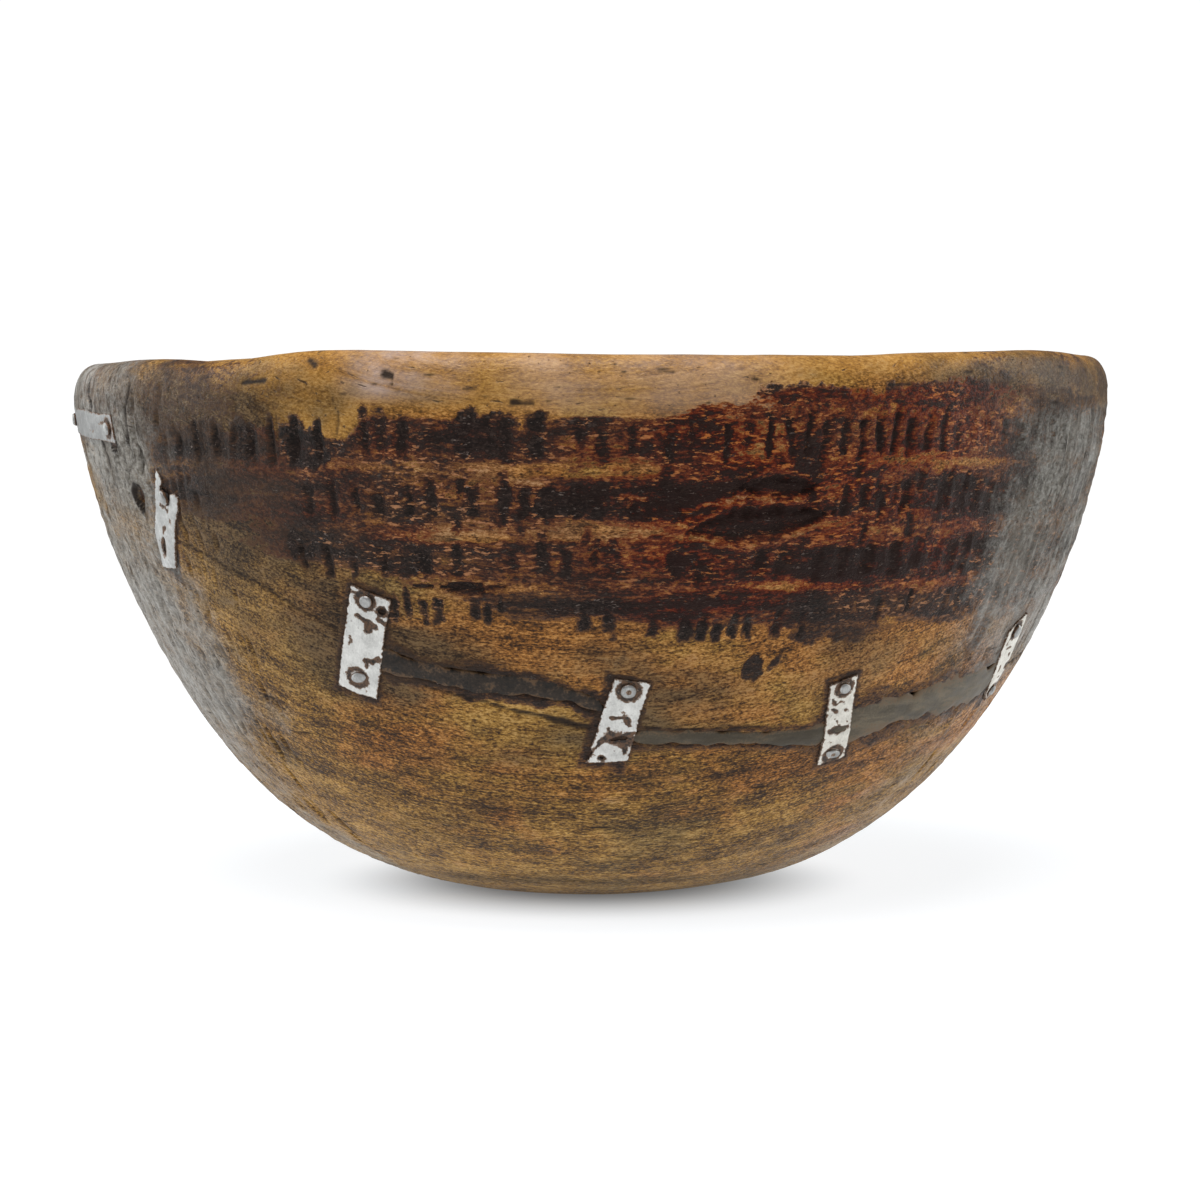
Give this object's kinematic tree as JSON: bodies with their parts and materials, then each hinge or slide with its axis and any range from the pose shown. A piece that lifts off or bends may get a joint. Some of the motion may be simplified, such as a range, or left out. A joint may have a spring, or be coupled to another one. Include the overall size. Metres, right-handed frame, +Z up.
{
  "type": "carved wooden bowl",
  "caption": "Large round-bottomed bowl carved from one block of wood, with carved bands, its cracks filled and closed by riveted metal strips.",
  "frame": {"origin": "centre of the flat resting face under the bowl", "axes": "+Z up along the bowl's axis of turning; -Y towards the front, where the mended crack is"},
  "size_m": [0.42, 0.42, 0.218],
  "materials": {
    "carved_wood": "old hand-carved hardwood, golden brown, burnished at the lip and charred dark in the carved bands",
    "dark_pitch": "hard dark pitch, slightly shiny",
    "grey_mastic": "smooth grey-green mastic, satin",
    "strip_metal": "hand-cut sheet, whitish and oxidised, with dirt in the dents",
    "backing_metal": "dull oxidised sheet",
    "rivet_metal": "hammered rivet wire, grey and worn bright on the domes"
  },
  "bodies": {
    "root": {"bowl_body": "carved_wood", "pitch_filling": "dark_pitch", "mastic_filling": "grey_mastic", "rim_strap": "strip_metal", "rim_strap_backing": "backing_metal", "rim_strap_front_rivet": "rivet_metal", "rim_strap_back_rivet": "rivet_metal", "left_strip": "strip_metal", "left_backing": "backing_metal", "left_rivet": "rivet_metal", "near_left_strip": "strip_metal", "near_left_backing": "backing_metal", "near_left_top_rivet": "rivet_metal", "near_left_bottom_rivet": "rivet_metal", "centre_strip": "strip_metal", "centre_backing": "backing_metal", "centre_rivet": "rivet_metal", "near_right_strip": "strip_metal", "near_right_backing": "backing_metal", "near_right_top_rivet": "rivet_metal", "near_right_bottom_rivet": "rivet_metal", "right_strip": "strip_metal", "right_backing": "backing_metal", "right_top_rivet": "rivet_metal", "right_bottom_rivet": "rivet_metal"}
  },
  "joints": []
}
